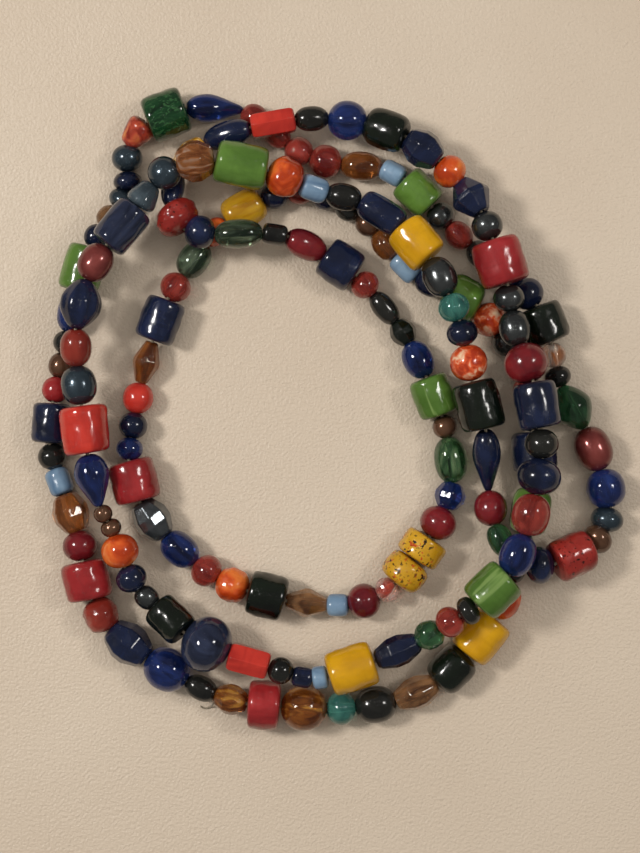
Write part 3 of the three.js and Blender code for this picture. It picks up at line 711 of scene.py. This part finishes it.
def make_looks():
    """Every glass by name, with its colours as sRGB codes."""
    surfaces = {
        "jet": opaque_glass("jet", "0a0a0a", "22221f"),
        "navy": opaque_glass("navy", "070b1a", "1b2544"),
        # Deep navy glass whose light rim is painted light, the painted glow at the rim from clear_glass.
        "navy_rimmed": clear_glass("navy_rimmed", "0a0f22", "39425e", through=0.35),
        "bottle": opaque_glass("bottle", "040604", "10190f"),
        "bottle_mottled": crackled_glass("bottle_mottled", "0b2413", "1c4a28", "4a7a4c"),
        "pea": opaque_glass("pea", "466526", "618538"),
        "pea_striped": striped_glass("pea_striped", "3c5a1c", "527430", "86a05c"),
        "red": opaque_glass("red", "74181a", "a32c2e"),
        "red_bright": opaque_glass("red_bright", "9a211c", "cc3b2e"),
        "red_pitted": speckled_glass("red_pitted", "701b18", "9c3028", "120c0a", "5c1612", 0.64),
        "crimson": opaque_glass("crimson", "4f0f18", "842226"),
        "orange": marbled_glass("orange", "a8360e", "cc5220", "e07a34", 0.005),
        "yellow": opaque_glass("yellow", "bb8606", "dca414"),
        "yellow_speckled": speckled_glass("yellow_speckled", "b48414", "d6a42c", "241a10", "b8481a", 0.58),
        "sky": opaque_glass("sky", "55708c", "8ca8c0", 0.22),
        "coral_marbled": marbled_glass("coral_marbled", "a83418", "d8582c", "ecc8a4", 0.0022),
        "coral_spotted": marbled_glass("coral_spotted", "7c2418", "ac4430", "c8763c"),
        "coral": opaque_glass("coral", "6c1e16", "94382c"),
        "cobalt": clear_glass("cobalt", "0b1338", "2c448c", through=0.55),
        "emerald": clear_glass("emerald", "163a20", "4c8458", through=0.7),
        "emerald_swirl": cored_glass("emerald_swirl", "5c8c5c", "0e3014", "a8cc94"),
        "emerald_smoke": cored_glass("emerald_smoke", "6c8068", "1c3420", "a4b898"),
        "teal": clear_glass("teal", "1c5c5c", "64b0a0", through=0.65),
        "amber": clear_glass("amber", "5e2e10", "b87038", through=0.6),
        "amber_golden": cored_glass("amber_golden", "a05c24", "54260e", "e8a848", 0.6),
        "amber_rough": cored_glass("amber_rough", "a86a3c", "6c3414", "d8c4b4", 0.5),
        "honey": clear_glass("honey", "b47c10", "e0b02c", through=0.35),
        "honey_grained": speckled_glass("honey_grained", "b07a14", "d8a43c", "7c2c10", "ecd0a0", 0.54),
        "garnet": clear_glass("garnet", "701e1a", "c45044", through=0.5),
        "garnet_lustre": lustre_glass("garnet_lustre", "4c1212", "a04e48", 0.35),
        "brown": lustre_glass("brown", "3a2418", "946a50", 0.55),
        "brown_clear": clear_glass("brown_clear", "482410", "c49060", through=0.6),
        "hematite": lustre_glass("hematite", "24272a", "787c7c", 0.85),
        "silver": lustre_glass("silver", "3c4248", "989ea2", 0.9),
        "smoke": clear_glass("smoke", "18242e", "60707a", through=0.5),
        "gunmetal": lustre_glass("gunmetal", "1a2630", "54646f"),
        "clear_orange": cored_glass("clear_orange", "f0e6dc", "d8803c", "f6e4d4", 0.8),
        "clear_red": cored_glass("clear_red", "f2e6dc", "d0402c", "f4c4a8", 0.7),
    }
    return {name: surface.material for name, surface in surfaces.items()}


looks = make_looks()


def thread_material():
    """Twisted cotton: fine slanting plies with a soft fuzz, and painted shade in the grooves between the
    plies.
    """
    surface = Surface("thread", Roughness=0.85, Sheen_Weight=0.3)
    plies = surface.add("ShaderNodeTexWave", Vector=surface.spot(), Scale=900.0, Distortion=1.5)
    # Painted shade: the colour darkens where the ply bump is low, in the grooves between plies.
    tone = surface.ramp(plies.outputs["Fac"], (0.2, srgb("6c6252")), (0.8, srgb("a89a84")))
    surface.colour(tone)
    surface.bump(plies.outputs["Fac"], 0.00006)
    return surface.material


THREAD = thread_material()


# ---- Thread and knot ----

def add_spline(curve, points, closed):
    spline = curve.splines.new("BEZIER")
    spline.bezier_points.add(len(points) - 1)
    for knot, point in zip(spline.bezier_points, points):
        knot.co = point
        knot.handle_left_type = "AUTO"
        knot.handle_right_type = "AUTO"
    spline.use_cyclic_u = closed


def make_curve(name, radius, splines, closed=()):
    """A round thread along each list of points. The lists numbered in closed are rings."""
    curve = bpy.data.curves.new(name, "CURVE")
    curve.dimensions = "3D"
    curve.bevel_depth = radius
    curve.bevel_resolution = 3
    curve.resolution_u = 4
    curve.use_fill_caps = True
    for number, points in enumerate(splines):
        add_spline(curve, points, number in closed)
    curve.materials.append(THREAD)
    piece = bpy.data.objects.new(name, curve)
    bpy.context.scene.collection.objects.link(piece)
    return piece


def add_thread(name, node, points):
    piece = make_curve(name, THREAD_RADIUS, [points])
    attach(piece, body_of(node))
    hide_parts(node)


def route(first, last):
    """Joints from one to another, in the order that the thread takes them."""
    count = (last - first) % COUNT
    return [joints[(first + step) % COUNT].copy() for step in range(count + 1)]


KNOT_SIZE = 0.00038
KNOT_STEPS = 24
KNOT_STRETCH = 1.6  # how much longer than wide the knot is
TAIL_RADIUS = 0.00022


def knot_loop(centre):
    """The thread's own tangle, as a trefoil around the strand."""
    placing = thread_frame(centre, (joints[0] - joints[KNOT_JOINT - 1]).normalized())
    points = []
    for step in range(KNOT_STEPS):
        turn = 2 * math.pi * step / KNOT_STEPS
        across = math.sin(turn) + 2 * math.sin(2 * turn)
        up = math.cos(turn) - 2 * math.cos(2 * turn)
        along = -math.sin(3 * turn)
        points.append(placing @ (Vector((across, up, along * KNOT_STRETCH)) * KNOT_SIZE))
    return points


def knot_tails(centre):
    """Two cut ends that curl away from the knot and down to the table."""
    side = Vector((-0.3, -1, 0)).normalized()
    forward = Vector((-1, 0.2, 0)).normalized()
    floor = TAIL_RADIUS

    def away(out, ahead, height):
        return Vector((*(centre + side * out + forward * ahead).xy, height))

    long_tail = [
        away(0.0010, 0, centre.z),
        away(0.0024, 0, centre.z * 0.6),
        away(0.0036, 0.0005, floor + 0.0005),
        away(0.0043, 0.0017, floor),
        away(0.0040, 0.0028, floor),
    ]
    short_tail = [
        away(-0.0008, 0, centre.z),
        away(-0.0017, 0, centre.z * 0.85),
        away(-0.0023, -0.0006, centre.z * 0.6),
    ]
    return [long_tail, short_tail]


def add_knot():
    centre = joints[KNOT_JOINT]
    piece = make_curve("knot_tied", TAIL_RADIUS, [knot_loop(centre), *knot_tails(centre)], closed=(0,))
    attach(piece, body_of("knot"))
    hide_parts("knot")


add_thread("thread_strand", "thread", route(LOOP_LAST, LOOP_FIRST - 1))
add_thread("thread_of_loop", "thread_loop", route(LOOP_FIRST - 1, LOOP_LAST))
add_knot()


# ---- Bead shapes ----

def smooth_step(low, high, value):
    """0 below low, 1 above high, and a smooth rise between them."""
    share = min(1, max(0, (value - low) / (high - low)))
    return share * share * (3 - 2 * share)


# How square a shape's outline is: 2 is an ellipse, and more is nearer to a cylinder
SQUARENESS = {
    "drum": 9, "barrel": 4.5, "tube": 4.5, "hex": 9, "cone": 4, "tear_in": 2.4, "tear_out": 2.4, "round": 2.1,
    "oval": 2.25, "nugget": 2.4, "disc": 2.5, "spindle": 2.1, "fluted": 2.4,
}
# How far hand-worked glass strays from round, as a share of the radius
DENTS = {"drum": 0.045, "barrel": 0.03, "tube": 0.02, "cone": 0.02}
FAINT_DENTS = 0.012  # the same for every other shape
FLUTES = 9
FLUTE_DEPTH = 0.07
FLAT_SIDES = {"hex": 6, "faceted": 8, "bicone": 8}
EDGE_ROUNDING = 0.14  # of the radius, on the edges between flat sides
FOLDED_DRUM = 68  # the place in the strand of the drum with a lump on its end
LUMP_HEIGHT = 0.07
END_SLANT = 0.05  # how far from square a drum's ends may be cut
HOLE_DEPTH = 0.94  # of half the bead, where the hole has come down to its full size
# Bands of facets that a cut bead has: (place from -1 to 1, share of the radius)
FACET_RINGS = {
    "faceted": [(-1, 0.5), (-0.86, 0.68), (-0.25, 1), (0.25, 1), (0.86, 0.68), (1, 0.5)],
    "bicone": [(-1, 0.42), (-0.92, 0.52), (-0.1, 1.02), (0.1, 1.02), (0.92, 0.52), (1, 0.42)],
}


def worked_shape(bead):
    """The shape as finished: a clear green bicone bead is smooth, with no cut facets."""
    if bead.shape == "bicone" and bead.slot == "emerald":
        return "spindle"
    return bead.shape


def along_shape(shape, u):
    """Share of the full radius at u, from -1 at the start of the bead to 1 at its end."""
    if shape == "cone":
        return 0.66 + 0.34 * smooth_step(-1, 0.7, u)
    if shape == "tear_in":
        return 1 - 0.5 * smooth_step(-0.35, 0.95, u)
    if shape == "tear_out":
        return 1 - 0.5 * smooth_step(-0.35, 0.95, -u)
    if shape == "fluted":
        return 1 - 0.28 * smooth_step(0.1, 1, abs(u))
    if shape == "spindle":
        return 1 - 0.34 * abs(u) ** 1.3
    if shape == "barrel":
        return 0.95 + 0.05 * (1 - u * u)
    if shape == "drum":
        return 0.965 + 0.035 * (1 - u * u)
    return 1


def around_shape(bead, angle, u):
    """Share of the radius at an angle around the thread."""
    if bead.shape == "fluted":
        return 1 - FLUTE_DEPTH * (0.5 + 0.5 * math.cos(FLUTES * angle)) * (1 - u * u)
    if bead.shape == "nugget":
        spot = Vector((math.cos(angle), math.sin(angle), u * 1.3 + bead.index * 3.7))
        return 1 + 0.11 * noise.noise(spot * 1.1) + 0.05 * noise.noise(spot * 2.6)
    spot = Vector((math.cos(angle), math.sin(angle), 1.2 * u + bead.index * 5.3))
    bumps = noise.noise(spot * 1.5) + 0.4 * noise.noise(spot * 3.7)
    return 1 + DENTS.get(bead.shape, FAINT_DENTS) * min(0.1, bumps - 0.15)


def spread_evenly(points, count):
    """Points at even steps along an outline that is given by many points."""
    reach = [0]
    for a, b in zip(points, points[1:]):
        reach.append(reach[-1] + (b - a).length)
    result = []
    place = 0
    for step in range(count):
        target = reach[-1] * step / (count - 1)
        while place < len(points) - 2 and reach[place + 1] < target:
            place += 1
        share = (target - reach[place]) / (reach[place + 1] - reach[place])
        result.append(points[place].lerp(points[place + 1], share))
    return result


def bead_profile(bead, half):
    """Rings of (radius, place along the thread), from one hole lip round to the other."""
    shape = worked_shape(bead)
    if shape in FACET_RINGS:
        return [Vector((bead.radius * share, u * half)) for u, share in FACET_RINGS[shape]]
    square = SQUARENESS[shape]
    lip = min(LIP_RADIUS, bead.radius * 0.6)
    start = math.acos(min(1, (lip / bead.radius) ** (square / 2)))
    outline = []
    for step in range(OUTLINE_STEPS + 1):
        turn = start * (2 * step / OUTLINE_STEPS - 1)
        share = abs(math.cos(turn)) ** (2 / square)
        u = math.copysign(abs(math.sin(turn) / math.sin(start)) ** (2 / square), turn)
        outline.append(Vector((bead.radius * share * along_shape(shape, u), u * half)))
    return spread_evenly(outline, RINGS)


def lift_lump(bead, vertex, angle, u):
    """The folded lump on one end of one red drum bead."""
    if bead.index != FOLDED_DRUM:
        return vertex
    lump = smooth_step(0.25, 0.9, -u) * max(0, math.cos(angle * 1.5)) * LUMP_HEIGHT
    return Vector((vertex.x * (1 + lump), vertex.y * (1 + lump), vertex.z))


def outer_vertices(bead, half, angles, rings):
    """The outside of a bead, with the ends of a drum cut a little out of square."""
    dice = random.Random(bead.index)
    slants = [dice.uniform(-END_SLANT, END_SLANT) for _ in range(2)] if bead.shape == "drum" else (0, 0)
    vertices = []
    for radius, z in rings:
        u = z / half
        for angle in angles:
            reach = radius * around_shape(bead, angle, u)
            slant = reach * math.cos(angle + bead.index) * slants[0 if u < 0 else 1] * abs(u) ** 4
            vertex = Vector((reach * math.cos(angle), reach * math.sin(angle), z + slant))
            vertices.append(lift_lump(bead, vertex, angle, u))
    return vertices


def hole_vertices(half, angles):
    """The two rings of the hole, in the order that carries on from the outside."""
    return [
        Vector((HOLE_RADIUS * math.cos(angle), HOLE_RADIUS * math.sin(angle), z))
        for z in (half * HOLE_DEPTH, -half * HOLE_DEPTH)
        for angle in angles
    ]


def ring_faces(rings, segments):
    """Faces between each ring and the next, and from the last back to the first."""
    faces = []
    for ring in range(rings):
        here, there = ring * segments, (ring + 1) % rings * segments
        for step in range(segments):
            following = (step + 1) % segments
            faces.append((here + step, here + following, there + following, there + step))
    return faces


def bead_mesh(bead, half):
    segments = FLAT_SIDES.get(worked_shape(bead), SEGMENTS)
    angles = [2 * math.pi * step / segments for step in range(segments)]
    rings = bead_profile(bead, half)
    vertices = outer_vertices(bead, half, angles, rings) + hole_vertices(half, angles)
    mesh = bpy.data.meshes.new(f"bead_{bead.index:03d}")
    mesh.from_pydata(vertices, [], ring_faces(len(rings) + 2, segments))
    mesh.update()
    return mesh


def soften(piece, bead):
    """Rounds the ground edges of a flat-sided bead, and shades the others smooth."""
    if worked_shape(bead) not in FLAT_SIDES:
        piece.data.shade_smooth()
        return
    bevel = piece.modifiers.new("ground edges", "BEVEL")
    bevel.width = bead.radius * EDGE_ROUNDING
    bevel.segments = 4
    bevel.limit_method = "ANGLE"
    bevel.angle_limit = math.radians(12)


def add_bead(bead):
    """One bead between its two joints, standing for its share of the CAD node."""
    start, end = joints[bead.index - 1], joints[bead.index]
    slack = DRUM_SLACK if bead.shape == "drum" else BEAD_SLACK
    half = (end - start).length / 2 - slack
    mesh = bead_mesh(bead, half)
    mesh.materials.append(looks[bead.look])
    piece = bpy.data.objects.new(f"bead_{bead.index:03d}_{bead.look}_{bead.shape}", mesh)
    bpy.context.scene.collection.objects.link(piece)
    piece.matrix_world = thread_frame((start + end) / 2, (end - start).normalized())
    soften(piece, bead)
    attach(piece, body_of(bead.node))
    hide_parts(bead.node)


for bead in beads:
    add_bead(bead)


# ---- Table and light ----

TABLE_REACH = 0.7  # from the middle to each side
LAMP_DISTANCE = 0.9
LAMP_LEAN = math.radians(37)  # from straight overhead
LAMP_FORWARD = 0.16
LAMP_SIZE = 0.17
LAMP_COLOUR = (1, 0.97, 0.93)


def table_material():
    """Pale painted board with a fine orange-peel texture."""
    surface = Surface("table", Roughness=0.42, IOR=1.45)
    patches = surface.noise(0.09, detail=3.0)
    grain = surface.noise(0.0007, detail=2.0)
    tone = surface.ramp(patches, (0.3, srgb("c9b8a4")), (0.7, srgb("d3c4b1")))
    surface.colour(surface.mix(surface.math("MULTIPLY", grain, 0.12), tone, srgb("a8937a")))
    surface.bump(grain, 0.0004, 0.8)
    return surface.material


def add_table():
    mesh = bpy.data.meshes.new("table")
    corners = [(x * TABLE_REACH, y * TABLE_REACH, 0) for x, y in ((-1, -1), (1, -1), (1, 1), (-1, 1))]
    mesh.from_pydata(corners, [], [(0, 1, 2, 3)])
    mesh.materials.append(table_material())
    table = bpy.data.objects.new("table", mesh)
    bpy.context.scene.collection.objects.link(table)


def add_lamp(name, place, size, power):
    """A round lamp that points at the middle of the table."""
    data = bpy.data.lights.new(name, "AREA")
    data.shape = "DISK"
    data.size = size
    data.energy = power
    data.color = LAMP_COLOUR
    lamp = bpy.data.objects.new(name, data)
    lamp.location = place
    lamp.rotation_euler = Vector(place).to_track_quat("Z", "Y").to_euler()
    bpy.context.scene.collection.objects.link(lamp)
    return lamp


def add_lights():
    """Two small lamps that show as highlights, and a wide soft one that doesn't."""
    across, up = LAMP_DISTANCE * math.sin(LAMP_LEAN), LAMP_DISTANCE * math.cos(LAMP_LEAN)
    add_lamp("left_lamp", (-across, LAMP_FORWARD, up), LAMP_SIZE, power=4.3)
    add_lamp("right_lamp", (across, LAMP_FORWARD, up), LAMP_SIZE, power=1.5)
    ceiling = add_lamp("ceiling_bounce", (0, 0.25, 1.3), size=1.8, power=9)
    ceiling.visible_glossy = False
    world = bpy.data.worlds.new("room")
    world.use_nodes = True
    background = world.node_tree.nodes["Background"]
    background.inputs["Color"].default_value = (1, 0.97, 0.92, 1)
    background.inputs["Strength"].default_value = 0.13
    bpy.context.scene.world = world


add_table()
add_lights()
bpy.context.scene.view_settings.view_transform = "Standard"
